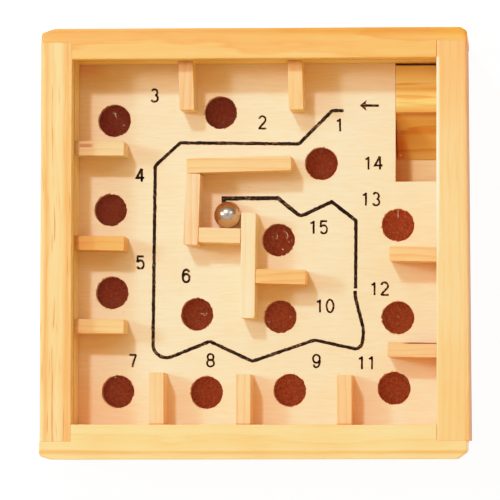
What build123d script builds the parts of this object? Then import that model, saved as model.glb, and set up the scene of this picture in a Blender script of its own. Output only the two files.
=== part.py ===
"""Tilt maze game: a wooden box frame that holds a maze board with dividers, a clear cover and a steel ball.

Millimetres. X runs right and Y away from the player, Z is up. The origin is the middle of the underside.
"""

import os

from build123d import *

# ---------------------------------------------------------------- driving dimensions

half_width = 62.7  # half of the outline along X
half_depth = 63.0  # half of the outline along Y
frame_height = 35.2

# Inner faces of the four frame bars
wall_west = -53.3
wall_east = 53.1
wall_north = 53.8
wall_south = -52.7

# Outer faces and ends, each sanded by hand to a slightly different line
west_face = -62.6
east_face = half_width
east_face_taper = 0.95  # the east bar is this much thinner at its far end
east_face_lean = 0.5  # its outer face leans in by this much towards the underside
north_bar_west_end = -62.5
north_bar_east_end = 62.1
north_bar_taper = 0.25  # the north bar is this much thinner at its east end
south_bar_west_end = -half_width
south_bar_east_end = 61.95
south_bar_taper = 0.35
east_end_rake = 0.7  # the east ends of both bars lean in by this much at the bottom

# Outer corners of the north and south bars: how far each is cut back along the bar, and how deep
north_west_corner = (4.0, 1.4)
north_east_corner = (2.0, 1.2)
south_west_corner = (3.6, 0.95)
south_east_corner = (3.0, 2.2)
corner_radius = 1.3

# Rabbets in the north and south bars that take the ends of the side bars
rabbet_north = 58.8
rabbet_south_west = -57.7
rabbet_south_east = -57.25

base_thickness = 3.0
base_rabbet = 4.0  # depth of the step under the frame that holds the base panel
board_bottom = 14.9
board_thickness = 3.0
board_top = board_bottom + board_thickness
board_groove = 2.5
board_in_groove = 2.3
groove_play = 0.2  # the board groove is this much taller than the board

divider_thickness = 4.3
divider_height = 10.7
divider_top = board_top + divider_height
divider_softening = 0.4  # radius of the free upright corners
divider_edge_softening = 0.2  # radius of the top edges

cover_gap = 0.1
cover_thickness = 1.5
cover_bottom = divider_top + cover_gap
cover_groove = 2.0
cover_in_groove = 1.8

top_outer_radius = 0.9
top_inner_radius = 0.35
east_inner_radius = 0.75
east_outer_radius = 0.45
bottom_radius = 0.4
joint_bevel = 0.1  # small bevel where a side bar's end meets the rabbet, so that the joint shows as a line

hole_diameter = 9.6
hole_edge_break = 0.15
hole_centres = [
    (-11.3, 39.4),
    (-42.8, 37.15),
    (-43.9, 10.75),
    (-43.35, -13.75),
    (-18.15, -20.1),
    (-41.5, -42.9),
    (-15.3, -43.15),
    (9.3, -42.5),
    (6.4, -20.85),
    (39.95, -41.9),
    (41.05, -21.2),
    (41.05, 6.05),
    (18.5, 24.2),
    (5.85, 1.7),
]

# The corner opening runs from this corner to the east and north walls
opening_west = 40.3
opening_south = 18.8

ramp_west = 40.4
ramp_east = 53.0
ramp_north = 53.0
ramp_crest = 39.3  # the level step ends and the slope begins
ramp_toe = 26.4
ramp_toe_height = 0.5
ramp_sag = (33.1, 9.9)  # Y and Z of a point half way down the hollow slope

ball_diameter = 8.0
ball_clearance = 0.05  # under the ball
ball_x = -8.75
ball_y = 8.9

pick_margin = 0.5  # edges are told apart by which side of a line they lie on, with this much to spare

os.makedirs("parts", exist_ok=True)


def save(piece, name):
    """Label a finished piece and write it to its own file."""
    piece.part.label = name
    export_step(piece.part, f"parts/{name}.step")


# ---------------------------------------------------------------- frame bars


def bar_section(width, inner_radius, outer_radius=0, lean=0):
    """Cross-section of a frame bar: x runs outwards from the inner face, y runs up from the underside.

    The bar has its full width at the top, and the lean is what its outer face loses towards the underside.
    Without an outer radius, the two outer edges stay sharp.
    """
    board_groove_top = board_top + groove_play
    cover_groove_top = cover_bottom + cover_thickness
    with BuildSketch() as section:
        with BuildLine():
            Polyline(
                (0, base_thickness),
                (0, board_bottom),
                (board_groove, board_bottom),
                (board_groove, board_groove_top),
                (0, board_groove_top),
                (0, cover_bottom),
                (cover_groove, cover_bottom),
                (cover_groove, cover_groove_top),
                (0, cover_groove_top),
                (0, frame_height),
                (width, frame_height),
                (width - lean, 0),
                (base_rabbet, 0),
                (base_rabbet, base_thickness),
                close=True,
            )
        make_face()
        fillet(section.vertices().group_by(Axis.Y)[-1].sort_by(Axis.X)[0], inner_radius)
        if outer_radius:
            fillet(section.vertices().group_by(Axis.Y)[-1].sort_by(Axis.X)[-1], outer_radius)
            fillet(section.vertices().group_by(Axis.Y)[0].sort_by(Axis.X)[-1], bottom_radius)
    return section.sketch


def joint_bevels(rabbet_south):
    """Side profile, in Y and Z, of what is bevelled off the top of a side bar's two ends."""
    with BuildSketch(Plane.YZ.offset(-half_width)) as bevels:
        for end, inwards in ((rabbet_south, 1), (rabbet_north, -1)):
            Polygon(
                (end, frame_height),
                (end + inwards * joint_bevel, frame_height),
                (end, frame_height - joint_bevel),
                align=None,
            )
    return bevels.sketch


# West bar: runs along +Y, its ends sit in the rabbets
west_plane = Plane(origin=(wall_west, rabbet_south_west, 0), x_dir=(-1, 0, 0), z_dir=(0, 1, 0))
with BuildPart() as west_bar:
    with BuildSketch(west_plane):
        add(bar_section(wall_west - west_face, top_inner_radius, top_outer_radius))
    extrude(amount=rabbet_north - rabbet_south_west)
    extrude(joint_bevels(rabbet_south_west), amount=2 * half_width, mode=Mode.SUBTRACT)
save(west_bar, "west_bar")

# East bar: the same moulding, sanded thinner towards its far end and its underside
east_plane = Plane(origin=(wall_east, rabbet_north, 0), x_dir=(1, 0, 0), z_dir=(0, -1, 0))
east_width = east_face - wall_east
east_finish = {"inner_radius": east_inner_radius, "outer_radius": east_outer_radius, "lean": east_face_lean}
with BuildPart() as east_bar:
    with BuildSketch(east_plane):
        add(bar_section(east_width - east_face_taper, **east_finish))
    with BuildSketch(east_plane.offset(rabbet_north - rabbet_south_east)):
        add(bar_section(east_width, **east_finish))
    loft()
    extrude(joint_bevels(rabbet_south_east), amount=2 * half_width, mode=Mode.SUBTRACT)
save(east_bar, "east_bar")


def full_width_plan(side, wall, rabbets, taper, west_end, east_end, west_corner, east_corner):
    """Plan of the north (side 1) or south (side -1) bar: rabbets at both ends, outer corners cut back."""
    outer_west = side * half_depth
    outer_east = side * (half_depth - taper)
    rabbet_west, rabbet_east = rabbets
    west_length, west_depth = west_corner
    east_length, east_depth = east_corner
    with BuildSketch() as plan:
        with BuildLine():
            Polyline(
                (west_end, outer_west - side * west_depth),
                (west_end, rabbet_west),
                (wall_west, rabbet_west),
                (wall_west, wall),
                (wall_east, wall),
                (wall_east, rabbet_east),
                (east_end, rabbet_east),
                (east_end, outer_east - side * east_depth),
                (east_end - east_length, outer_east),
                (west_end + west_length, outer_west),
                close=True,
            )
        make_face()
        beyond_rabbet = abs(rabbet_west) + pick_margin
        fillet(plan.vertices().filter_by(lambda vertex: abs(vertex.Y) > beyond_rabbet), corner_radius)
    return plan.sketch


def full_width_bar(side, wall, rabbets, taper, west_end, east_end, west_corner, east_corner, top_radius):
    """North or south bar: the moulding cut to its plan, with its east end leaning in at the bottom."""
    section_plane = Plane(origin=(-side * half_width, wall, 0), x_dir=(0, side, 0), z_dir=(side, 0, 0))
    with BuildPart() as bar:
        with BuildSketch(section_plane):
            add(bar_section(side * (side * half_depth - wall), top_inner_radius))
        extrude(amount=2 * half_width)
        for height, end in ((0, east_end - east_end_rake), (frame_height, east_end)):
            with BuildSketch(Plane.XY.offset(height)):
                add(full_width_plan(side, wall, rabbets, taper, west_end, end, west_corner, east_corner))
        loft(mode=Mode.INTERSECT)
        for level, radius in ((-1, top_radius), (0, bottom_radius)):
            rim = bar.faces().sort_by(Axis.Z)[level].edges()
            fillet(rim.filter_by(lambda edge: abs(edge.center().Y) > abs(rabbets[0]) + pick_margin), radius)
    return bar


north_bar = full_width_bar(
    side=1,
    wall=wall_north,
    rabbets=(rabbet_north, rabbet_north),
    taper=north_bar_taper,
    west_end=north_bar_west_end,
    east_end=north_bar_east_end,
    west_corner=north_west_corner,
    east_corner=north_east_corner,
    top_radius=top_outer_radius,
)
save(north_bar, "north_bar")

south_bar = full_width_bar(
    side=-1,
    wall=wall_south,
    rabbets=(rabbet_south_west, rabbet_south_east),
    taper=south_bar_taper,
    west_end=south_bar_west_end,
    east_end=south_bar_east_end,
    west_corner=south_west_corner,
    east_corner=south_east_corner,
    top_radius=bottom_radius,
)
save(south_bar, "south_bar")

# ---------------------------------------------------------------- panels


def panel_plan(reach):
    """Rectangle that stands this far into all four bars."""
    with BuildSketch() as plan:
        with Locations(((wall_west + wall_east) / 2, (wall_south + wall_north) / 2)):
            Rectangle(wall_east - wall_west + 2 * reach, wall_north - wall_south + 2 * reach)
    return plan.sketch


with BuildPart() as base_panel:
    with BuildSketch():
        add(panel_plan(base_rabbet))
    extrude(amount=base_thickness)
save(base_panel, "base_panel")

with BuildPart() as maze_board:
    with BuildSketch(Plane.XY.offset(board_bottom)):
        add(panel_plan(board_in_groove))
        with Locations((opening_west, opening_south)):
            Rectangle(half_width, half_depth, align=(Align.MIN, Align.MIN), mode=Mode.SUBTRACT)
        with Locations(hole_centres):
            Circle(hole_diameter / 2, mode=Mode.SUBTRACT)
    extrude(amount=board_thickness)
    rims = maze_board.edges().filter_by(GeomType.CIRCLE)
    chamfer(rims, hole_edge_break)
save(maze_board, "maze_board")

with BuildPart() as clear_cover:
    with BuildSketch(Plane.XY.offset(cover_bottom)):
        add(panel_plan(cover_in_groove))
    extrude(amount=cover_thickness)
save(clear_cover, "clear_cover")

# ---------------------------------------------------------------- return ramp

# Side profile: a level step at board height, then a hollow slope down to a blunt toe on the base
ramp_width = ramp_east - ramp_west
with BuildPart() as return_ramp:
    with BuildSketch(Plane.YZ.offset(ramp_west)):
        with BuildLine():
            ThreePointArc((ramp_crest, board_top), ramp_sag, (ramp_toe, base_thickness + ramp_toe_height))
            Polyline(
                (ramp_toe, base_thickness + ramp_toe_height),
                (ramp_toe, base_thickness),
                (ramp_north, base_thickness),
                (ramp_north, board_top),
                (ramp_crest, board_top),
            )
        make_face()
    extrude(amount=ramp_width)
save(return_ramp, "return_ramp")

# ---------------------------------------------------------------- dividers

# Each strip: middle of its plan in X and Y, length, and the angle of its long side from +X.
# Strips that meet the frame are a little long here and are trimmed to the inner walls.
dividers = {
    "divider_west_1": (-48.7, 28.25, 20.0, -0.6),
    "divider_west_2": (-48.55, 0.45, 20.0, -1.0),
    "divider_west_3": (-48.6, -23.9, 20.0, -0.3),
    "divider_east_1": (49.1, -3.0, 20.0, -0.8),
    "divider_east_2": (48.6, -30.9, 20.0, -0.8),
    "divider_north_1": (-20.5, 49.4, 20.0, 91.5),
    "divider_north_2": (11.55, 49.3, 20.0, 91.6),
    "divider_south_1": (-29.0, -47.4, 20.0, 90.0),
    "divider_south_2": (-3.5, -47.9, 20.0, 90.0),
    "divider_south_3": (26.05, -48.1, 20.0, 90.0),
    "divider_centre_1": (-4.95, 23.35, 30.7, 1.3),
    "divider_centre_2": (-18.7, 10.3, 20.9, 88.1),
    "divider_centre_3": (-10.55, 2.6, 12.3, -1.8),
    "divider_centre_4": (-2.2, -6.2, 30.8, 89.4),
    "divider_centre_5": (7.35, -9.5, 14.7, -1.4),
}


def is_clear_of_walls(edge):
    """True for an upright edge that doesn't touch a frame bar."""
    place = edge.center()
    clear_x = wall_west + pick_margin < place.X < wall_east - pick_margin
    clear_y = wall_south + pick_margin < place.Y < wall_north - pick_margin
    return clear_x and clear_y


for name, (middle_x, middle_y, length, angle) in dividers.items():
    with BuildPart() as divider:
        with BuildSketch(Plane.XY.offset(board_top)):
            with Locations((middle_x, middle_y)):
                Rectangle(length, divider_thickness, rotation=angle)
            add(panel_plan(0), mode=Mode.INTERSECT)
        extrude(amount=divider_height)
        free_corners = divider.edges().filter_by(Axis.Z).filter_by(is_clear_of_walls)
        fillet(free_corners, divider_softening)
        fillet(divider.faces().sort_by(Axis.Z)[-1].edges(), divider_edge_softening)
    save(divider, name)

# ---------------------------------------------------------------- ball

with BuildPart() as steel_ball:
    with Locations((ball_x, ball_y, board_top + ball_clearance + ball_diameter / 2)):
        Sphere(ball_diameter / 2)
save(steel_ball, "steel_ball")
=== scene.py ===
"""Looks of the tilt maze game: wood, plywood, printed ink, clear cover and steel ball, in a white studio."""

import math
import random

import bmesh
import bpy
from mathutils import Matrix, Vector, noise


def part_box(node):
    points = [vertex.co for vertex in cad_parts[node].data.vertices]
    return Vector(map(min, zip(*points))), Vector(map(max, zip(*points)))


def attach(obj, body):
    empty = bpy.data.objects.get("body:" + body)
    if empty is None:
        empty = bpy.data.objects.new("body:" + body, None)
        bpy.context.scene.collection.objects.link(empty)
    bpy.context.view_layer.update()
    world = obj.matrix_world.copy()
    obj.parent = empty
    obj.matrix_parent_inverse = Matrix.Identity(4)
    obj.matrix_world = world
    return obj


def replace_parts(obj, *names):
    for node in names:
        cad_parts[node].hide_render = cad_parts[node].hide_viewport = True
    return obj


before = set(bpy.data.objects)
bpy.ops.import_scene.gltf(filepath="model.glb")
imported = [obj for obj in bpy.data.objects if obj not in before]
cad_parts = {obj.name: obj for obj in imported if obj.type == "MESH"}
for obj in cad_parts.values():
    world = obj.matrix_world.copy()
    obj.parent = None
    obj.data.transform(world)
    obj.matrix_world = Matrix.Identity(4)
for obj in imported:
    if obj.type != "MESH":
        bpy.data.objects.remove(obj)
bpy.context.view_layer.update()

MM = 0.001
AXES = ("X", "Y", "Z")


def box_mm(node):
    """Lowest and highest corners of a CAD node, in mm."""
    return [[place / MM for place in corner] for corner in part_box(node)]


BOARD_BOTTOM, BOARD_TOP = [corner[2] for corner in box_mm("maze_board")]
BASE_TOP = box_mm("base_panel")[1][2]
DIVIDER_TOP = box_mm("divider_west_1")[1][2]
COVER_EAST, COVER_NORTH, COVER_TOP = box_mm("clear_cover")[1]
BAR_TOP = box_mm("north_bar")[1][2]
NORTH_WALL = box_mm("north_bar")[0][1]  # inner faces of three of the bars
SOUTH_WALL = box_mm("south_bar")[1][1]
WEST_WALL = box_mm("west_bar")[1][0]

# ---------------------------------------------------------------- shader helpers

# Sockets of a Mix node that mixes colours
MIX_FACTOR, MIX_FIRST, MIX_SECOND, MIX_RESULT = 0, 6, 7, 2


def set_stops(colour_ramp, stops):
    """Give a colour ramp its stops. Each is (position, colour)."""
    while len(colour_ramp.elements) < len(stops):
        colour_ramp.elements.new(0.5)
    for element, (position, colour) in zip(colour_ramp.elements, stops):
        element.position = position
        element.color = (*colour, 1)


class Shader:
    """A node material under construction. Its coordinates are in millimetres, in the frame of the object."""

    def __init__(self, name):
        self.material = bpy.data.materials.new(name)
        self.material.use_nodes = True
        self.tree = self.material.node_tree
        self.tree.nodes.clear()
        self.output = self.node("OutputMaterial")
        place = self.node("TexCoord").outputs["Object"]
        self.mm = self.vector("SCALE", place, scale=1 / MM)
        split = self.node("SeparateXYZ", Vector=self.mm)
        self.axis = {axis: split.outputs[axis] for axis in AXES}

    def node(self, kind, **inputs):
        made = self.tree.nodes.new("ShaderNode" + kind)
        for key, value in inputs.items():
            self.plug(made.inputs[key.replace("_", " ")], value)
        return made

    def plug(self, socket, value):
        if isinstance(value, bpy.types.NodeSocket):
            self.tree.links.new(value, socket)
        elif isinstance(value, tuple) and len(value) == 3 and socket.type == "RGBA":
            socket.default_value = (*value, 1)
        else:
            socket.default_value = value

    def math(self, operation, first, second=0.0):
        made = self.node("Math")
        made.operation = operation
        self.plug(made.inputs[0], first)
        self.plug(made.inputs[1], second)
        return made.outputs[0]

    def add(self, first, second):
        return self.math("ADD", first, second)

    def subtract(self, first, second):
        return self.math("SUBTRACT", first, second)

    def multiply(self, first, second):
        return self.math("MULTIPLY", first, second)

    def swing(self, value, size):
        """A value from 0 to 1, made to swing by half the size to each side of 0."""
        return self.multiply(self.subtract(value, 0.5), size)

    def clamp(self, value):
        return self.node("Clamp", Value=value).outputs[0]

    def bell(self, value, middle, half_width):
        """1 where the value is at the middle, falling to 0 a half width away."""
        offset = self.math("ABSOLUTE", self.subtract(value, middle))
        return self.remap(offset, 0.0, half_width, 1.0, 0.0)

    def vector(self, operation, first, second=(0, 0, 0), scale=1.0):
        made = self.node("VectorMath")
        made.operation = operation
        self.plug(made.inputs[0], first)
        if operation == "SCALE":
            self.plug(made.inputs["Scale"], scale)
        else:
            self.plug(made.inputs[1], second)
        return made.outputs[0]

    def noise(self, vector, scale, detail=2.0, roughness=0.5, distortion=0.0):
        made = self.node("TexNoise", Vector=vector, Scale=scale, Detail=detail, Roughness=roughness)
        self.plug(made.inputs["Distortion"], distortion)
        return made.outputs["Fac"]

    def remap(self, value, low, high, to_low=0.0, to_high=1.0):
        made = self.node("MapRange")
        for socket, number in zip(made.inputs[:5], (value, low, high, to_low, to_high)):
            self.plug(socket, number)
        return made.outputs[0]

    def mix(self, factor, first, second, blend="MIX"):
        made = self.node("Mix")
        made.data_type = "RGBA"
        made.blend_type = blend
        self.plug(made.inputs[MIX_FACTOR], factor)
        self.plug(made.inputs[MIX_FIRST], first)
        self.plug(made.inputs[MIX_SECOND], second)
        return made.outputs[MIX_RESULT]

    def ramp(self, factor, stops):
        made = self.node("ValToRGB", Fac=factor)
        set_stops(made.color_ramp, stops)
        return made.outputs["Color"]

    def shade(self, colour, shades):
        """Multiply a colour beyond some planes. Each shade is (colour, (axis, from, to), ...)."""
        for shade, *planes in shades:
            beyond = 1.0
            for axis, start, end in planes:
                beyond = self.multiply(beyond, self.remap(self.axis[axis], start, end))
            colour = self.mix(beyond, colour, self.mix(1.0, colour, shade, "MULTIPLY"))
        return colour

    def bump(self, height, strength, distance_mm):
        made = self.node("Bump", Height=height, Strength=strength, Distance=distance_mm * MM)
        return made.outputs["Normal"]

    def between(self, factor, first, second):
        """A mix of two shaders."""
        made = self.node("MixShader")
        self.plug(made.inputs[0], factor)
        self.plug(made.inputs[1], first.outputs[0])
        self.plug(made.inputs[2], second.outputs[0])
        return made

    def finish(self, surface):
        self.plug(self.output.inputs["Surface"], surface.outputs[0])
        return self.material


def give(node, material):
    """Put a material on a node that comes from the CAD."""
    mesh = bpy.data.objects[node].data
    mesh.materials.clear()
    mesh.materials.append(material)


def tinted(colour, shares):
    """A colour with its red, green and blue each multiplied by a share."""
    return tuple(channel * share for channel, share in zip(colour, shares))


BRIGHTEST = 0.95
LIGHTER = (0.07, 0.22, 0.55)  # the light tone is above the middle one by these shares of red, green and blue
DARKER = (0.10, 0.28, 0.45)


def tones(middle, spread=1.0):
    """Light, middle and dark wood colours from the middle one: darker wood is also more orange."""
    light = tinted(middle, [1 + spread * share for share in LIGHTER])
    dark = tinted(middle, [1 - spread * share for share in DARKER])
    return tuple(min(BRIGHTEST, channel) for channel in light), middle, dark


def three_stops(colours):
    return tuple(zip((0.0, 0.5, 1.0), colours))


# ---------------------------------------------------------------- solid wood

WOOD_SEED_STEP = (37.1, 11.3, 5.7)  # how far on in the noise the next seed's wood lies, in mm
GRAIN_STRETCH = 0.035  # the noise changes this many times as fast along the grain as across it
RING_WOBBLE = 1.6  # wandering of the growth rings: fine, then broad, in rings
RING_SWAY = 2.5
RING_TONES = ((0.0, 0.1), (0.45, 0.2), (0.8, 0.65), (0.92, 1.0), (1.0, 0.1))  # darkness through one ring
MEAN_RING_TONE = 0.36
BLOTCH = 0.5
STREAK_DRIFT = 1.2  # how far streaks wander, in mm
PORE_LEVELS = (0.66, 0.72)  # noise from the first to the second is the edge of a pore
PORE_LINE_SHARE = 0.16
PORE_TINT = (0.62, 0.5, 0.4)
WOOD_BUMP = (0.22, 0.08)  # strength, and depth in mm


def wood(name, tones, grain, pith, ring, contrast, seed, fibre=0.35, pores=0.0, pore_line=None, streaks=(),
         shades=(), gloss=0.25):
    """Solid wood: growth rings round a pith line that runs along the grain, fibres, pores and broad blotches.

    tones are the light, middle and dark colours. pith is a point in the plane across the grain, in mm.
    pore_line is (axis, place, half width), a line along the grain where more of the pores are.
    Each streak is (axis, place, half width, strength), a line of darker or lighter wood along the grain;
    one on the east bar is a painted highlight instead.
    Each shade is (colour, (axis, from, to), ...), and beyond those planes the wood is multiplied by it;
    several are painted light and shade, as their comments say.
    """
    shader = Shader(name)
    across = [axis for axis in AXES if axis != grain]
    squeeze = tuple(GRAIN_STRETCH if axis == grain else 1.0 for axis in AXES)
    moved = shader.vector("ADD", shader.mm, tuple(seed * step for step in WOOD_SEED_STEP))
    stretched = shader.vector("MULTIPLY", moved, squeeze)

    wobble = shader.swing(shader.noise(stretched, 0.22, 3.0, 0.55), 1.0)
    legs = []
    for axis, centre in zip(across, pith):
        offset = shader.subtract(shader.axis[axis], centre)
        legs.append(shader.multiply(offset, offset))
    radius = shader.math("SQRT", shader.add(*legs))
    radius = shader.add(radius, shader.multiply(wobble, ring * RING_WOBBLE))
    radius = shader.add(radius, shader.swing(shader.noise(moved, 0.018), ring * RING_SWAY))
    turn = shader.math("FRACT", shader.math("DIVIDE", radius, ring))
    ring_tone = shader.ramp(turn, [(place, (tone, tone, tone)) for place, tone in RING_TONES])

    fine = shader.noise(stretched, 3.2, 4.0, 0.7)
    tone = shader.multiply(shader.subtract(ring_tone, MEAN_RING_TONE), contrast)
    tone = shader.add(tone, shader.swing(fine, fibre * 2))
    tone = shader.add(tone, shader.swing(shader.noise(moved, 0.05), BLOTCH))
    tone = shader.add(tone, 0.5)
    drift = shader.multiply(wobble, STREAK_DRIFT)
    for axis, place, half_width, strength in streaks:
        line = shader.bell(shader.add(shader.axis[axis], drift), place, half_width)
        tone = shader.add(tone, shader.multiply(line, strength))
    colour = shader.shade(shader.ramp(shader.clamp(tone), three_stops(tones)), shades)

    height = shader.multiply(fine, 0.6)
    if pores:
        dashes = shader.noise(stretched, 1.9, 1.0, 0.4)
        if pore_line:
            axis, place, half_width = pore_line
            near_line = shader.bell(shader.axis[axis], place, half_width)
            dashes = shader.add(dashes, shader.multiply(near_line, PORE_LINE_SHARE))
        dashes = shader.multiply(shader.remap(dashes, *PORE_LEVELS), pores)
        colour = shader.mix(dashes, colour, tinted(tones[2], PORE_TINT))
        height = shader.subtract(height, dashes)
    return shader.finish(shader.node(
        "BsdfPrincipled", Base_Color=colour, Roughness=shader.remap(fine, 0.3, 0.7, 0.42, 0.56),
        Normal=shader.bump(height, *WOOD_BUMP), Specular_IOR_Level=gloss))


give("north_bar", wood(
    "north_bar_wood", tones((0.90, 0.35, 0.107)),
    grain="X", pith=(85.0, -14.0), ring=3.2, contrast=0.45, seed=1,
    streaks=(("Y", 62.0, 2.2, 0.5), ("Y", 55.0, 1.6, -0.2)),
    shades=(
        ((1.07, 1.75, 1.9), ("Y", NORTH_WALL + 0.15, NORTH_WALL)),  # inner face, made paler by painted light from the board
        ((0.87, 0.89, 0.54), ("Y", 59.5, 61.6), ("X", -15.0, 25.0)),  # outer face and edge, to the east
        ((1.1, 1.25, 1.2), ("Y", 58.5, 61.0), ("X", 50.0, 58.0)),  # paler again near the east end
        ((0.99, 0.95, 0.85), ("X", 20.0, 45.0)),  # east end
        ((0.90, 0.76, 0.55), ("X", 60.3, 61.8), ("Y", 57.0, 60.0)),  # outer corner
    )))
give("south_bar", wood(
    "south_bar_wood", tones((0.95, 0.49, 0.215)),
    grain="X", pith=(-95.0, 60.0), ring=3.6, contrast=0.25, seed=2,
    streaks=(("Y", -60.6, 0.8, 0.55), ("Y", -54.5, 1.5, -0.1)),
    shades=(
        # painted shade: a dark line under the outer top edge, which faces away from the lights
        ((0.35, 0.27, 0.20), ("Y", -61.0, -61.5), ("Z", BAR_TOP - 0.15, BAR_TOP - 0.4),
         ("Z", BAR_TOP - 2.0, BAR_TOP - 1.2)),
    )))
give("west_bar", wood(
    "west_bar_wood", tones((0.95, 0.445, 0.195)),
    grain="Y", pith=(-105.0, 55.0), ring=3.0, contrast=0.3, seed=3,
    streaks=(("X", -60.8, 1.1, 0.5), ("X", -54.6, 1.8, 0.6), ("X", -58.0, 1.8, -0.14)),
    pores=0.65, pore_line=("X", -58.8, 1.1),
    shades=(((1.05, 1.6, 1.8), ("X", WEST_WALL - 0.15, WEST_WALL - 0.02)),)))  # inner face, made paler by painted light from the board
give("east_bar", wood(
    "east_bar_wood", tones((0.95, 0.48, 0.24)),
    grain="Y", pith=(110.0, 45.0), ring=2.6, contrast=0.2, seed=4,
    # The second streak is a painted highlight along the inner top edge
    streaks=(("X", 61.6, 1.0, 0.25), ("X", 53.4, 0.5, -0.5)),
    shades=(
        ((0.50, 0.42, 0.22), ("X", 57.0, 58.0), ("Z", BAR_TOP - 0.25, BAR_TOP - 0.55)),  # outer face, darkened as painted shade
        ((1.0, 0.76, 0.60), ("Y", 22.0, 50.0)),  # north end
        ((1.0, 0.92, 0.80), ("Y", -20.0, -40.0)),  # south end
        # painted highlight: the inner face and its top edge made paler, to the north
        ((1.0, 1.45, 2.1), ("X", 54.2, 53.85), ("Y", -5.0, 25.0), ("Y", NORTH_WALL + 0.4, NORTH_WALL)),
    ),
    gloss=0.05))
give("return_ramp", wood(
    "ramp_wood", tones((0.85, 0.40, 0.097), 1.15),
    grain="X", pith=(40.0, -60.0), ring=6.5, contrast=1.0, seed=5,
    fibre=0.4,
    streaks=(("Y", 46.2, 0.8, 0.5), ("Y", 42.0, 2.5, -0.38), ("Y", 48.0, 0.8, -0.4), ("Y", 33.8, 1.0, 0.4),
             ("Y", 39.6, 1.6, 0.45)),
    shades=(
        ((1.0, 1.14, 1.0), ("Y", 31.0, 28.0)),  # toe
        ((0.82, 0.77, 0.68), ("Y", 42.0, 40.5), ("Y", 37.5, 38.5)),  # crest, between the step and the slope
        ((0.97, 0.93, 0.66), ("Y", 38.0, 37.0), ("Y", 28.5, 30.0)),  # slope
        ((0.92, 1.0, 1.0), ("Y", 46.0, 48.0)),  # far end of the step
        ((1.0, 0.56, 0.34), ("X", 43.8, 41.6), ("Y", 35.0, 30.0)),  # painted shade: west side of the toe, under the board's edge
    )))

# ---------------------------------------------------------------- dividers

# Mean colour, contrast of the growth rings, seed
DIVIDER_LOOKS = {
    "divider_west_1": ((0.8, 0.445, 0.235), 0.35, 11),
    "divider_west_2": ((0.762, 0.304, 0.077), 0.45, 12),
    "divider_west_3": ((0.867, 0.434, 0.192), 0.35, 13),
    "divider_east_1": ((0.93, 0.425, 0.188), 0.50, 14),
    "divider_east_2": ((0.869, 0.406, 0.19), 0.35, 15),
    "divider_north_1": ((0.871, 0.404, 0.198), 0.50, 16),
    "divider_north_2": ((0.94, 0.427, 0.19), 0.30, 17),
    "divider_south_1": ((0.95, 0.469, 0.248), 0.30, 18),
    "divider_south_2": ((0.94, 0.461, 0.235), 0.55, 19),
    "divider_south_3": ((0.94, 0.424, 0.2), 0.45, 20),
    "divider_centre_1": ((0.93, 0.432, 0.201), 0.50, 21),
    "divider_centre_2": ((0.94, 0.46, 0.268), 0.50, 22),
    "divider_centre_3": ((0.95, 0.479, 0.26), 0.25, 23),
    "divider_centre_4": ((0.96, 0.566, 0.36), 0.30, 24),
    "divider_centre_5": ((0.87, 0.372, 0.139), 0.55, 25),
}
DIVIDER_RING = 1.9
PITH_OFFSET = 26.0  # from the divider's side to the pith that its rings go round
PITH_HEIGHTS = (6.0, 15.0, 24.0, 33.0)
# Painted light: the dividers' sides are paler, as if lit by the board
SIDE_PAINTED_LIGHT = (1.0, 1.3, 1.2)
NORTH_SIDE_PAINTED_LIGHT = (1.0, 1.5, 1.4)
KNOT = ((0.62, 0.42, 0.36), ("X", -52.2, -51.5), ("X", -47.6, -48.8),
        ("Y", 28.35, 28.75), ("Y", 29.75, 29.35))
FAR_SIDE_TINT = (0.25, 0.17, 0.12)
GLUE_TINT = (0.85, 0.58, 0.40)


def divider_shades(node, far_side):
    """Painted light: paler sides for every divider. Also a knot on one, a dark far side on one, and glue at
    the near bar.
    """
    side_painted_light = NORTH_SIDE_PAINTED_LIGHT if "north" in node else SIDE_PAINTED_LIGHT
    shades = [(side_painted_light, ("Z", DIVIDER_TOP - 0.1, DIVIDER_TOP - 0.3))]
    if node == "divider_west_1":
        shades.append(KNOT)
    if node == "divider_east_2":
        shades.append((FAR_SIDE_TINT, ("Y", far_side - 0.6, far_side - 0.5), ("X", 42.5, 45.0)))
    if "south" in node:
        shades.append((GLUE_TINT, ("Y", SOUTH_WALL + 0.5, SOUTH_WALL + 0.3)))
    return shades


for node, (middle, contrast, seed) in DIVIDER_LOOKS.items():
    low, high = box_mm(node)
    runs_along_x = high[0] - low[0] > high[1] - low[1]
    side = low[1] if runs_along_x else low[0]
    give(node, wood(
        node + "_wood", tones(middle),
        grain="X" if runs_along_x else "Y", pith=(side - PITH_OFFSET, PITH_HEIGHTS[seed % len(PITH_HEIGHTS)]),
        ring=DIVIDER_RING, contrast=contrast, seed=seed, shades=divider_shades(node, high[1])))

# ---------------------------------------------------------------- plywood

PLY_SEED_STEP = (21.7, 9.1, 0.0)
PLY_BUMP = (0.15, 0.05)  # strength, and depth in mm
PLY_CORE = 1.215  # thickness of the middle ply
PLY_CORE_TINT = (0.75, 0.62, 0.5)
EAST_SHADE = ((1.0, 0.94, 0.88), ("X", 20.0, 45.0))  # on both panels
# Painted shade under the board, seen through the holes, and painted light that lifts it towards the
# south-east
HOLE_SHADE_TONES = ((0.34, (0.50, 0.034, 0.009)), (0.5, (0.97, 0.105, 0.023)), (0.64, (0.97, 0.42, 0.18)))
HOLE_SHADE_NORTH_WEST = (0.68, 0.25, 0.22)
HOLE_LIGHT_SOUTH_EAST = (1.0, 1.0, 0.92)


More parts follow.
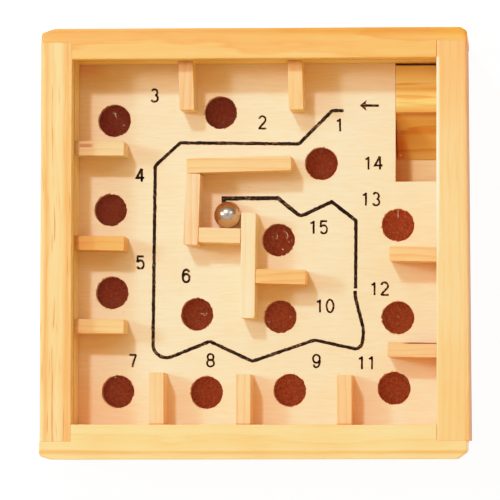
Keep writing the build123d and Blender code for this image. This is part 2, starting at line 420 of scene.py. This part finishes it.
def painted_hole_shade(shader, moved, colour, strength):
    """Painted shade, dark and red, on the base's top below the holes, with painted light to the south-east;
    the ramp's corner has none.
    """
    amount = shader.multiply(shader.remap(shader.noise(moved, 0.12, 3.0), 0.2, 0.8, 0.85, 1.0), strength)
    clear_x = shader.remap(shader.axis["X"], 38.0, 40.0)
    clear_y = shader.remap(shader.axis["Y"], 17.0, 19.0)
    amount = shader.multiply(amount, shader.subtract(1.0, shader.multiply(clear_x, clear_y)))
    amount = shader.multiply(amount, shader.math("GREATER_THAN", shader.axis["Z"], BASE_TOP - 0.1))
    red = shader.ramp(shader.noise(moved, 1.3, 5.0, 0.8), HOLE_SHADE_TONES)
    towards_south_east = shader.remap(shader.subtract(shader.axis["X"], shader.axis["Y"]), -50.0, 40.0)
    light = shader.mix(towards_south_east, HOLE_SHADE_NORTH_WEST, HOLE_LIGHT_SOUTH_EAST)
    return shader.mix(amount, colour, shader.mix(1.0, red, light, "MULTIPLY"))


def plywood(name, tones, seed, shades, hole_shade_strength=0.0):
    """Three-ply board: pale rotary-cut faces, with a darker cross-grain core that shows on sawn edges."""
    shader = Shader(name)
    moved = shader.vector("ADD", shader.mm, tuple(seed * step for step in PLY_SEED_STEP))
    stretched = shader.vector("MULTIPLY", moved, (0.09, 1.0, 1.0))
    figure = shader.noise(stretched, 0.16, 3.0, 0.5, 0.6)
    lines = shader.math("PINGPONG", shader.multiply(figure, 9.0), 0.5)
    fine = shader.noise(stretched, 2.4, 4.0, 0.65)
    tone = shader.add(shader.multiply(lines, 0.4), shader.swing(fine, 1.1))
    tone = shader.add(tone, shader.swing(shader.noise(moved, 0.03), 0.6))
    tone = shader.clamp(shader.add(tone, 0.40))
    colour = shader.shade(shader.ramp(tone, three_stops(tones)), (EAST_SHADE, *shades))
    from_middle = shader.math("ABSOLUTE", shader.subtract(shader.axis["Z"], (BOARD_TOP + BOARD_BOTTOM) / 2))
    core = shader.math("LESS_THAN", from_middle, PLY_CORE / 2)
    colour = shader.mix(core, colour, tinted(tones[2], PLY_CORE_TINT))
    if hole_shade_strength:
        colour = painted_hole_shade(shader, moved, colour, hole_shade_strength)
    return shader.finish(shader.node(
        "BsdfPrincipled", Base_Color=colour, Roughness=shader.remap(fine, 0.3, 0.7, 0.5, 0.62),
        Normal=shader.bump(fine, *PLY_BUMP)))


BOARD_PLYWOOD = plywood("board_plywood", tones((0.89, 0.59, 0.40), 0.6), 1, shades=(
    ((1.0, 0.78, 0.80), ("X", -44.0, -50.0), ("Y", 49.5, 52.0)),  # painted shade: north-west corner, darker and redder
    ((0.90, 0.86, 0.75), ("Y", 43.0, 50.0), ("X", 12.0, -35.0)),  # painted shade along the north wall, to the west
    ((0.93, 0.91, 0.83), ("X", -43.0, -48.0), ("Y", 26.0, 36.0)),  # painted shade along the west wall, to the north
    ((1.0, 0.95, 0.90), ("Y", -37.0, -45.0), ("X", 34.0, 24.0)),  # painted shade along the south wall, but not its east end
    ((0.99, 0.92, 0.86), ("Y", -37.0, -45.0), ("X", -26.0, -38.0)),  # painted shade in the south-west corner
))
BASE_PLYWOOD = plywood("base_plywood", tones((0.86, 0.57, 0.28), 0.7), 2, hole_shade_strength=0.9, shades=(
    ((1.0, 0.72, 0.55), ("X", 43.8, 43.2), ("Y", 17.0, 19.0)),  # painted shade beside the ramp, under the board's edge
))
give("maze_board", BOARD_PLYWOOD)
give("base_panel", BASE_PLYWOOD)

# ---------------------------------------------------------------- clear cover and ball

COVER_INDEX = 1.49
COVER_GLOSS = 0.12  # share of its reflections that is kept, because the whole studio is white
COVER_HAZE = 0.006  # share of dust where it is densest


def acrylic():
    """Clear sheet with a faint haze of wear."""
    shader = Shader("clear_acrylic")
    through = shader.node("BsdfTransparent", Color=(0.995, 0.995, 0.99))
    gloss = shader.node("BsdfGlossy", Color=(1, 1, 1), Roughness=0.04)
    dust = shader.node("BsdfDiffuse", Color=(0.9, 0.88, 0.85))
    reflection = shader.multiply(shader.node("Fresnel", IOR=COVER_INDEX).outputs[0], COVER_GLOSS)
    clear = shader.between(reflection, through, gloss)
    haze = shader.remap(shader.noise(shader.mm, 0.35, 6.0, 0.7), 0.55, 0.8, 0.0, COVER_HAZE)
    return shader.finish(shader.between(haze, clear, dust))


def polished_steel():
    """Steel with very fine scuffs. Its brown colour and edge tint are painted reflection of the wood round
    it.
    """
    shader = Shader("polished_steel")
    scuffs = shader.noise(shader.vector("MULTIPLY", shader.mm, (1.0, 2.5, 1.0)), 2.6, 5.0, 0.7)
    # Painted reflection: the steel is tinted brown like the wood that it reflects
    reflected_wood_tint = shader.mix(shader.remap(scuffs, 0.3, 0.8), (0.70, 0.53, 0.40), (0.58, 0.43, 0.31))
    roughness = shader.remap(scuffs, 0.35, 0.75, 0.19, 0.25)
    return shader.finish(shader.node(
        "BsdfPrincipled", Base_Color=reflected_wood_tint, Metallic=1.0, Roughness=roughness,
        Specular_Tint=(0.50, 0.28, 0.10), Coat_Weight=0.4, Coat_Roughness=0.10,
        Normal=shader.bump(scuffs, 0.03, 0.02)))


give("clear_cover", acrylic())
give("steel_ball", polished_steel())
# Its facets are shaded as one smooth surface
for polygon in bpy.data.objects["steel_ball"].data.polygons:
    polygon.use_smooth = True

# ---------------------------------------------------------------- ink, and flat strokes and shapes

INK_THICKNESS = 0.03
INK_TOP = BOARD_TOP + INK_THICKNESS
ROUTE_WIDTHS = ((1.05, 1.05), (1.0, 1.32))  # at the start and end of its two lengths
FIGURE_WIDTH = 0.64
STROKE_SPACING = 0.22  # between the points of a stroke
STROKE_WANDER = 0.16  # how far its edges wander, as a share of its width
WANDER_RATE = 1.7  # how far each mm goes through the noise that moves them
WANDER_LAYERS = 3.3  # how far apart in that noise the strokes are
NARROWEST_MITRE = 0.5  # keeps the points of sharp corners short
END_REACH = 0.28  # a rounded end stands out by this share of the width
END_WIDTH = 0.55  # and its tip has this share of the width
ARC_STEP = 10  # degrees
CLOSED_GAP = 1e-6  # a path with its ends this close is a loop


def printers_ink():
    """Black ink that didn't take everywhere: the wood shows through in specks."""
    shader = Shader("printers_ink")
    specks = shader.remap(shader.noise(shader.mm, 1.7, 5.0, 0.8), 0.54, 0.62)
    dry = shader.remap(shader.noise(shader.mm, 0.09), 0.40, 0.60)
    thin = shader.multiply(specks, shader.remap(dry, 0.0, 1.0, 0.12, 0.8))
    tone = shader.mix(shader.noise(shader.mm, 0.8, 3.0), (0.003, 0.002, 0.001), (0.013, 0.005, 0.003))
    colour = shader.mix(thin, tone, (0.42, 0.25, 0.13))
    return shader.finish(shader.node(
        "BsdfPrincipled", Base_Color=colour, Roughness=0.85, Specular_IOR_Level=0.08))


INK = printers_ink()


def arc(centre_x, centre_y, radius_x, radius_y, start, end):
    """Points along an ellipse, from one angle to another, in degrees."""
    count = max(4, round(abs(end - start) / ARC_STEP))
    points = []
    for step in range(count + 1):
        angle = math.radians(start + (end - start) * step / count)
        points.append((centre_x + radius_x * math.cos(angle), centre_y + radius_y * math.sin(angle)))
    return points


def wander(place, rate, layer):
    """A number from about -1 to 1 that changes smoothly from place to place, faster at a higher rate."""
    return noise.noise(Vector((place.x * rate, place.y * rate, layer)))


def bend_corners(corners):
    """Points of a path whose corners are rounded by arcs of the given radii."""
    points = [Vector(corners[0][:2])]
    for before, corner, after in zip(corners, corners[1:], corners[2:]):
        here = Vector(corner[:2])
        back = (Vector(before[:2]) - here).normalized()
        ahead = (Vector(after[:2]) - here).normalized()
        half_angle = back.angle(ahead) / 2
        radius = corner[2]
        if not radius:
            points.append(here)
            continue
        reach = radius / math.tan(half_angle)
        centre = here + (back + ahead).normalized() * radius / math.sin(half_angle)
        start = here + back * reach - centre
        turn = start.angle_signed(here + ahead * reach - centre)
        count = max(2, round(abs(math.degrees(turn)) / ARC_STEP))
        for step in range(count + 1):
            angle = -turn * step / count
            x = start.x * math.cos(angle) - start.y * math.sin(angle)
            y = start.x * math.sin(angle) + start.y * math.cos(angle)
            points.append(centre + Vector((x, y)))
    points.append(Vector(corners[-1][:2]))
    return points


def resample(points, spacing):
    """The same path with points at most a spacing apart, keeping its own points."""
    path = []
    for first, second in zip(points, points[1:]):
        count = max(1, math.ceil((second - first).length / spacing))
        path += [first.lerp(second, step / count) for step in range(count)]
    return path + [points[-1]]


def following_pairs(items):
    """Each item with the next one, and the last with the first."""
    return zip(items, items[1:] + items[:1])


def add_row(bm, points, level):
    """Add a row of vertices along a path, at a level, in mm."""
    return [bm.verts.new((x * MM, y * MM, level * MM)) for x, y in points]


def stroke_sides(path, widths, closed, seed):
    """Points along the left and the right of a path. Both sides wander a little from the even width."""
    count = len(path)
    left, right = [], []
    for index, point in enumerate(path):
        before = path[index - 1] if closed or index else point
        after = path[(index + 1) % count] if closed or index < count - 1 else point
        back = (point - before).normalized() if point != before else (after - point).normalized()
        ahead = (after - point).normalized() if after != point else back
        across = Vector((-(back + ahead).y, (back + ahead).x)).normalized()
        mitre = 1 / max(NARROWEST_MITRE, across.dot(Vector((-ahead.y, ahead.x))))
        width = widths[0] + (widths[1] - widths[0]) * index / (count - 1)
        for side, sign, layer in ((left, 1, seed), (right, -1, seed + 0.5)):
            uneven = width * STROKE_WANDER * wander(point, WANDER_RATE, layer * WANDER_LAYERS)
            side.append(point + across * mitre * sign * (width / 2 + uneven))
    return left, right


def ribbon(bm, points, widths, top, thickness, seed, round_ends=False):
    """Add a flat stroke along a path, as a thin closed solid with slightly uneven edges.

    widths are those at its start and its end.
    """
    path = resample([Vector(point) for point in points], STROKE_SPACING)
    closed = (path[0] - path[-1]).length < CLOSED_GAP
    if closed:
        path.pop()
    left, right = stroke_sides(path, widths, closed, seed)
    if round_ends and not closed:
        for end, inner in ((0, 1), (-1, -2)):
            outwards = (path[end] - path[inner]).normalized() * widths[end] * END_REACH
            middle = (left[end] + right[end]) / 2 + outwards
            for side in (left, right):
                tip = middle + (side[end] - middle) * END_WIDTH
                side.insert(0 if end == 0 else len(side), tip)
    bottom = top - thickness
    corners = ((left, top), (right, top), (right, bottom), (left, bottom))
    rows = [add_row(bm, side, level) for side, level in corners]
    length = len(left)
    for index in range(length if closed else length - 1):
        following = (index + 1) % length
        for first, second in following_pairs(rows):
            bm.faces.new((first[index], second[index], second[following], first[following]))
    if not closed:
        bm.faces.new([row[0] for row in reversed(rows)])
        bm.faces.new([row[-1] for row in rows])


def add_walls(bm, rows):
    """Join closed rows of vertices, one below another."""
    for upper, lower in zip(rows, rows[1:]):
        for top_pair, low_pair in zip(following_pairs(upper), following_pairs(lower)):
            bm.faces.new((*top_pair, *reversed(low_pair)))


def prism(bm, outline, top, thickness):
    """Add a flat closed shape with a straight wall."""
    upper = add_row(bm, outline, top)
    lower = add_row(bm, outline, top - thickness)
    bm.faces.new(upper)
    bm.faces.new(lower[::-1])
    add_walls(bm, (upper, lower))


def add_to_scene(name, data):
    made = bpy.data.objects.new(name, data)
    bpy.context.scene.collection.objects.link(made)
    return made


def piece(name, build, material):
    """Make an object from mesh code and let it ride on the box."""
    bm = bmesh.new()
    build(bm)
    bmesh.ops.recalc_face_normals(bm, faces=bm.faces)
    mesh = bpy.data.meshes.new(name)
    bm.to_mesh(mesh)
    bm.free()
    mesh.materials.append(material)
    made = add_to_scene(name, mesh)
    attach(made, "box")
    return made


# ---------------------------------------------------------------- maze board with roughly drilled holes

HOLE_EDGE_BREAK = 0.15  # the CAD holes are this much wider at the top
LEVEL_TOLERANCE = 0.01
RIM_POINTS = 110
RIM_WEAR = 0.10  # the surface ply is broken back this far on average
RIM_TEAR = 0.55  # size of the tears in it
# How fast the tears change from place to place, and the layer of the noise that they come from
COARSE_TEARS = (0.9, 4.0)
FINE_TEARS = (2.6, 9.0)
COARSE_SHARE = 0.3
TORN_DEPTH = 0.35
TORN_SHARE = 0.3  # what is left of the tears at that depth
CHIP_REACH = 1.0  # a chip belongs to the hole whose middle is this near
# Larger chips: X and Y near the middle of the hole, direction in degrees, half angle, depth
CHIPS = [(39.95, -41.9, -50, 16, 0.5)]


def loop_length(loop):
    return sum((second - first).length for first, second in following_pairs(loop))


def level_loops(node, level):
    """Closed outlines of the flat faces that a CAD node has at a level, in mm, the longest first."""
    mesh = bpy.data.objects[node].data
    spots = [tuple(round(place / MM, 3) for place in vertex.co) for vertex in mesh.vertices]
    uses = {}
    for polygon in mesh.polygons:
        corners = [spots[index] for index in polygon.vertices]
        if all(abs(corner[2] - level) < LEVEL_TOLERANCE for corner in corners):
            for first, second in following_pairs(corners):
                uses.setdefault(frozenset((first, second)), []).append((first, second))
    following = {edges[0][0]: edges[0][1] for edges in uses.values() if len(edges) == 1}
    loops = []
    while following:
        start, here = following.popitem()
        loop = [start]
        while here != start:
            loop.append(here)
            here = following.pop(here)
        loops.append([Vector(spot[:2]) for spot in loop])
    return sorted(loops, key=loop_length, reverse=True)


def torn_rim(centre, radius, rays):
    """Radii of the broken edge of the surface ply round a hole, one for each ray."""
    radii = []
    for ray in rays:
        spot = centre + ray * radius
        tear = RIM_TEAR * (COARSE_SHARE * wander(spot, *COARSE_TEARS) + wander(spot, *FINE_TEARS))
        for x, y, direction, half_angle, depth in CHIPS:
            turn = (math.degrees(math.atan2(ray.y, ray.x)) - direction + 180) % 360 - 180
            if (centre - Vector((x, y))).length < CHIP_REACH and abs(turn) < half_angle:
                tear += depth * (1 - abs(turn) / half_angle)
        radii.append(radius + RIM_WEAR + tear)
    return radii


def build_board(bm):
    """The CAD board's outline, and its holes with torn rims."""
    outline, *holes = level_loops("maze_board", BOARD_TOP)
    angles = [2 * math.pi * step / RIM_POINTS for step in range(RIM_POINTS)]
    rays = [Vector((math.cos(angle), math.sin(angle))) for angle in angles]
    # Closed rows of vertices, from the top down, for the outline and for each hole
    walls = [[add_row(bm, outline, BOARD_TOP), add_row(bm, outline, BOARD_BOTTOM)]]
    for loop in holes:
        centre = sum(loop, Vector((0, 0))) / len(loop)
        radius = sum((point - centre).length for point in loop) / len(loop) - HOLE_EDGE_BREAK
        torn = torn_rim(centre, radius, rays)
        less_torn = [radius + TORN_SHARE * (far - radius) for far in torn]
        drilled = [centre + ray * radius for ray in rays]
        walls.append([
            add_row(bm, [centre + ray * far for ray, far in zip(rays, torn)], BOARD_TOP),
            add_row(bm, [centre + ray * far for ray, far in zip(rays, less_torn)], BOARD_TOP - TORN_DEPTH),
            add_row(bm, drilled, BOARD_TOP - 2 * TORN_DEPTH),
            add_row(bm, drilled, BOARD_BOTTOM),
        ])
    top_edges = [bm.edges.new(pair) for rows in walls for pair in following_pairs(rows[0])]
    low_edges = [bm.edges.new(pair) for rows in walls for pair in following_pairs(rows[-1])]
    for rows in walls:
        add_walls(bm, rows)
    for edges in (top_edges, low_edges):
        bmesh.ops.triangle_fill(bm, edges=edges, use_beauty=True)


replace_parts(piece("drilled_board", build_board, BOARD_PLYWOOD), "maze_board")

# ---------------------------------------------------------------- printed route, arrow and numbers

# Middle lines of the strokes, in mm from the middle of the figure. The figures are 3.7 mm high between lines.
FIGURES = {
    "0": [arc(0, 0, 1.0, 1.85, 90, 450)],
    "1": [[(0, -1.85), (0, 1.85)], [(-0.9, 1.2), (-0.35, 1.28), (0, 1.75)]],
    "2": [arc(0, 0.85, 0.98, 1.0, 165, -30) + [(-1.0, -1.8)], [(-1.1, -1.8), (1.15, -1.8)]],
    "3": [arc(0, 0.92, 0.85, 0.93, 150, -75), arc(0, -0.88, 1.0, 0.97, 75, -155)],
    "4": [[(0.45, -1.85), (0.45, 1.9)], [(0.35, 1.95), (-1.05, -0.7), (1.15, -0.7)]],
    "5": [[(0.95, 1.8), (-0.75, 1.8), (-0.9, 0.1)], arc(0, -0.62, 1.02, 1.2, 145, -150)],
    "6": [arc(0, -0.68, 1.0, 1.17, 90, 450), arc(0.02, 0.0, 1.02, 1.85, 35, 185)],
    "7": [[(-1.0, 1.75), (1.0, 1.75)], [(0.95, 1.7), (0.5, 0.5), (0.1, -0.7), (-0.1, -1.85)]],
    "8": [arc(0, 0.93, 0.88, 0.9, 90, 450), arc(0, -0.86, 1.03, 0.98, 90, 450)],
    "9": [arc(0, 0.68, 1.0, 1.17, 90, 450), arc(-0.02, 0.0, 1.02, 1.85, 215, 365)],
}
FIGURE_PITCH = 2.95
BOLD_NUMBERS = {"4": 1.2, "5": 1.1, "6": 1.15}

# Where each number stands: the middle of its only figure, or of the figure 1 that it starts with
NUMBER_PLACES = {
    "1": (24.0, 35.6),
    "2": (1.05, 36.45),
    "3": (-30.95, 44.6),
    "4": (-35.1, 20.95),
    "5": (-35.0, -4.8),
    "6": (-21.4, -8.75),
    "7": (-37.15, -33.8),
    "8": (-14.15, -33.65),
    "9": (17.1, -33.9),
    "10": (18.15, -17.7),
    "11": (30.5, -34.4),
    "12": (34.2, -12.65),
    "13": (31.65, 13.7),
    "14": (32.4, 24.3),
    "15": (16.25, 5.45),
}

# The route to follow: X, Y and the radius of the bend at each point. It's printed in two lengths.
ROUTE = [
    [
        (25.1, 39.83, 0),
        (21.7, 39.83, 0.8),
        (11.9, 30.06, 0.4),
        (-23.25, 30.53, 0.4),
        (-30.65, 23.81, 0.5),
        (-31.23, -34.8, 4.0),
        (-14.35, -28.1, 0.6),
        (-1.8, -33.95, 1.0),
        (16.6, -27.7, 3.0),
        (30.4, -30.75, 2.2),
        (31.0, -24.8, 5.0),
        (28.55, -15.2, 2.0),
        (28.5, -13.2, 0),
    ],
    [
        (28.6, -12.6, 0),
        (28.7, 7.4, 0.7),
        (21.56, 12.94, 0.3),
        (12.34, 8.6, 2.2),
        (5.74, 14.1, 0.8),
        (-10.3, 14.05, 0),
        (-10.3, 12.7, 0),
    ],
]
ARROW = [
    (29.75, 41.33),
    (31.9, 42.95),
    (31.55, 41.75),
    (35.5, 41.6),
    (35.5, 40.85),
    (31.55, 40.9),
    (31.8, 39.65),
]


def build_route(bm):
    for seed, (length, widths) in enumerate(zip(ROUTE, ROUTE_WIDTHS)):
        ribbon(bm, bend_corners(length), widths, INK_TOP, INK_THICKNESS, seed)


def build_arrow(bm):
    prism(bm, ARROW, INK_TOP, INK_THICKNESS)


def build_number(text):
    def build(bm):
        x, y = NUMBER_PLACES[text]
        width = FIGURE_WIDTH * BOLD_NUMBERS.get(text, 1.0)
        for place, figure in enumerate(text):
            for stroke_index, stroke in enumerate(FIGURES[figure]):
                shifted = [(x + place * FIGURE_PITCH + across, y + up) for across, up in stroke]
                seed = int(text) * 10 + place * 4 + stroke_index
                ribbon(bm, shifted, (width, width), INK_TOP, INK_THICKNESS, seed, round_ends=True)
    return build


piece("printed_route", build_route, INK)
piece("printed_arrow", build_arrow, INK)
for text in NUMBER_PLACES:
    piece("printed_number_" + text, build_number(text), INK)

# ---------------------------------------------------------------- dust and scratches on the cover

# Specks of dust: X, Y and radius
SPECKS = [
    (-16.0, 43.85, 0.15),
    (-16.7, 39.4, 0.15),
    (42.9, 4.5, 0.12),
    (41.7, 3.05, 0.1),
    (8.2, -1.65, 0.17),
    (5.1, 2.0, 0.1),
    (6.4, 1.7, 0.1),
    (-38.55, 34.8, 0.14),
    (-16.05, -23.95, 0.12),
    (11.0, -38.95, 0.1),
    (42.9, -42.0, 0.12),
    (19.25, 27.05, 0.12),
    (19.1, 21.5, 0.1),
    (-48.35, 50.1, 0.12),
    (-46.85, 46.45, 0.1),
    (-50.85, 9.2, 0.14),
    (-49.65, 9.15, 0.09),
    (-51.25, 44.7, 0.1),
]
FINE_SPECKS = 260  # scattered over the whole cover
FINE_SPECK_RADIUS = (0.07, 0.14)
SPECK_MARGIN = 11  # they stay this far inside the cover's edges
SPECK_SIDES = 9
SPECK_SEED = 7
SPECK_UNEVENNESS = 0.5
SPECK_NOISE = (1.7, 2.3, 0.5)  # steps in it from corner to corner and from speck to speck, and its layer
SCRATCHES = [
    [(-16.15, 25.45), (-14.1, 25.45)],
    [(41.7, 11.2), (41.75, 7.5)],
    [(8.45, 3.75), (9.35, 3.15), (9.65, 2.25), (9.2, 1.55)],
    [(-41.8, 38.5), (-40.9, 38.3), (-41.05, 37.6), (-40.75, 37.15)],
    [(-16.05, -20.15), (-15.2, -20.45), (-14.3, -21.05)],
]
SCRATCH_WIDTH = 0.10
SCRATCH_SEED = 40  # of the first scratch
MARK_THICKNESS = 0.01


def dust():
    """Pale powder that covers only part of what it lies on."""
    shader = Shader("dust_and_scratches")
    tone = shader.mix(shader.noise(shader.mm, 1.3), (0.62, 0.50, 0.40), (0.80, 0.70, 0.60))
    powder = shader.node("BsdfPrincipled", Base_Color=tone, Roughness=0.7)
    cover = shader.remap(shader.noise(shader.mm, 2.1, 3.0), 0.3, 0.7, 0.35, 0.85)
    return shader.finish(shader.between(cover, shader.node("BsdfTransparent"), powder))


def fine_specks():
    scatter = random.Random(SPECK_SEED)
    reach_x = COVER_EAST - SPECK_MARGIN
    reach_y = COVER_NORTH - SPECK_MARGIN
    for _ in range(FINE_SPECKS):
        x = scatter.uniform(-reach_x, reach_x)
        y = scatter.uniform(-reach_y, reach_y)
        yield x, y, scatter.uniform(*FINE_SPECK_RADIUS)


def build_marks(bm):
    top = COVER_TOP + MARK_THICKNESS
    corner_step, speck_step, layer = SPECK_NOISE
    for seed, (x, y, radius) in enumerate([*SPECKS, *fine_specks()]):
        outline = []
        for step in range(SPECK_SIDES):
            angle = 2 * math.pi * step / SPECK_SIDES
            uneven = wander(Vector((step * corner_step, seed * speck_step)), 1.0, layer)
            reach = radius * (1 + SPECK_UNEVENNESS * uneven)
            outline.append((x + reach * math.cos(angle), y + reach * math.sin(angle)))
        prism(bm, outline, top, MARK_THICKNESS)
    for seed, line in enumerate(SCRATCHES, SCRATCH_SEED):
        ribbon(bm, line, (SCRATCH_WIDTH, SCRATCH_WIDTH), top, MARK_THICKNESS, seed, round_ends=True)


piece("cover_marks", build_marks, dust())

# ---------------------------------------------------------------- studio, in metres

FLOOR_HALF = 3.0
FLOOR_DROP = 0.0002
FLOOR_GLOW = 1.4


def pale_floor():
    shader = Shader("pale_floor")
    grey = shader.mix(shader.noise(shader.mm, 0.002), (0.38, 0.39, 0.40), (0.40, 0.41, 0.42))
    return shader.finish(shader.node(
        "BsdfPrincipled", Base_Color=grey, Roughness=0.9,
        Emission_Color=(1, 1, 1), Emission_Strength=FLOOR_GLOW))


def build_floor():
    mesh = bpy.data.meshes.new("floor")
    corners = [(x * FLOOR_HALF, y * FLOOR_HALF, 0) for x, y in ((-1, -1), (1, -1), (1, 1), (-1, 1))]
    mesh.from_pydata(corners, [], [(0, 1, 2, 3)])
    mesh.materials.append(pale_floor())
    made = add_to_scene("floor", mesh)
    made.location.z = -FLOOR_DROP


# Sideways reach of the lights for each unit of height
KEY_LEAN = (-0.25, 0.545)
SIDE_LEAN = (-0.98, 0.22)
RIM_LEAN = (0.61, 0.42)
FRONT_LEAN = (0.03, -0.04)


def studio_light(name, lean, distance, size, level, colour, shines=True):
    """A round lamp that lights a level surface to this share of full brightness.

    Where shines is False, it isn't seen in reflections.
    """
    direction = Vector((*lean, 1)).normalized()
    data = bpy.data.lights.new(name, "AREA")
    data.shape = "DISK"
    data.size = size
    # Under a lamp of P watts, a white surface has a brightness of P * cosine / (pi * distance)**2
    data.energy = level * (math.pi * distance) ** 2 / direction.z
    data.color = colour
    made = add_to_scene(name, data)
    made.location = direction * distance
    made.rotation_euler = direction.to_track_quat("Z", "Y").to_euler()
    made.visible_glossy = shines


FILL_COLOUR = (0.50, 0.42, 0.08, 1)
BACKDROP_COLOUR = (2.0, 2.0, 2.0, 1)
# What shiny surfaces see: height of the line of sight, from 0 level to 1 straight up, and its brightness
TENT_LEVELS = ((0.0, 0.04), (0.30, 0.14), (0.6, 0.40), (0.8, 0.62), (0.95, 0.72), (0.985, 0.55), (1.0, 0.12))
TENT_TINT = (1.0, 1.08, 1.14)


def studio_world():
    """Warm fill for dull surfaces, a tent that shiny surfaces reflect, and a white backdrop."""
    world = bpy.data.worlds.new("studio")
    world.use_nodes = True
    tree = world.node_tree
    tree.nodes.clear()
    output = tree.nodes.new("ShaderNodeOutputWorld")
    path = tree.nodes.new("ShaderNodeLightPath")
    direction = tree.nodes.new("ShaderNodeTexCoord")
    split = tree.nodes.new("ShaderNodeSeparateXYZ")
    tree.links.new(direction.outputs["Generated"], split.inputs[0])
    tent = tree.nodes.new("ShaderNodeValToRGB")
    tree.links.new(split.outputs["Z"], tent.inputs["Fac"])
    stops = [(height, tuple(level * share for share in TENT_TINT)) for height, level in TENT_LEVELS]
    set_stops(tent.color_ramp, stops)
    last = tree.nodes.new("ShaderNodeBackground")
    last.inputs["Color"].default_value = FILL_COLOUR
    reflected = tree.nodes.new("ShaderNodeBackground")
    tree.links.new(tent.outputs["Color"], reflected.inputs["Color"])
    backdrop = tree.nodes.new("ShaderNodeBackground")
    backdrop.inputs["Color"].default_value = BACKDROP_COLOUR
    for ray, other in (("Is Glossy Ray", reflected), ("Is Camera Ray", backdrop)):
        switch = tree.nodes.new("ShaderNodeMixShader")
        tree.links.new(path.outputs[ray], switch.inputs[0])
        tree.links.new(last.outputs[0], switch.inputs[1])
        tree.links.new(other.outputs[0], switch.inputs[2])
        last = switch
    tree.links.new(last.outputs[0], output.inputs["Surface"])
    bpy.context.scene.world = world


CAMERA_LENS = 307.72  # mm
CAMERA_SENSOR = 36
CAMERA_PLACE = (0.1066, -0.06267, 1.27009)
CAMERA_RANGE = (0.01, 20)  # nearest and farthest that it sees
CAMERA_TURN = (0.04903, 0.08685, 0.00176)  # radians round X, Y and Z


def camera():
    """A long lens high above the game, a little to the right and towards the player."""
    data = bpy.data.cameras.new("camera")
    data.lens = CAMERA_LENS
    data.sensor_width = CAMERA_SENSOR
    data.clip_start, data.clip_end = CAMERA_RANGE
    made = add_to_scene("camera", data)
    made.location = CAMERA_PLACE
    made.rotation_euler = CAMERA_TURN
    bpy.context.scene.camera = made


WHITE_LEVEL = 2.0
COMBINED_CURVE = 3
TONE_CURVE = ((0.25, 0.50), (0.4, 0.74), (0.5, 0.85), (0.65, 0.94), (0.8, 0.98))


def tone_curve():
    """Soft shoulder for bright surfaces, as a photograph has."""
    settings = bpy.context.scene.view_settings
    settings.view_transform = "Standard"
    settings.use_curve_mapping = True
    mapping = settings.curve_mapping
    mapping.white_level = (WHITE_LEVEL, WHITE_LEVEL, WHITE_LEVEL)
    for place, level in TONE_CURVE:
        mapping.curves[COMBINED_CURVE].points.new(place, level)
    mapping.update()


studio_light("key_light", KEY_LEAN, 1.5, 0.13, 0.47, (0.94, 0.91, 1.0))
studio_light("key_glow", KEY_LEAN, 1.5, 0.80, 0.105, (1.0, 0.87, 0.45), shines=False)
studio_light("side_light", SIDE_LEAN, 1.6, 0.22, 0.29, (0.9, 0.9, 0.93))
studio_light("side_glow", SIDE_LEAN, 1.6, 0.90, 0.22, (0.44, 0.84, 1.0), shines=False)
studio_light("front_light", FRONT_LEAN, 1.5, 0.55, 0.115, (1.0, 0.56, 0.34), shines=False)
studio_light("rim_light", RIM_LEAN, 1.6, 0.30, 0.066, (0.45, 0.70, 1.0))
build_floor()
studio_world()
camera()
tone_curve()
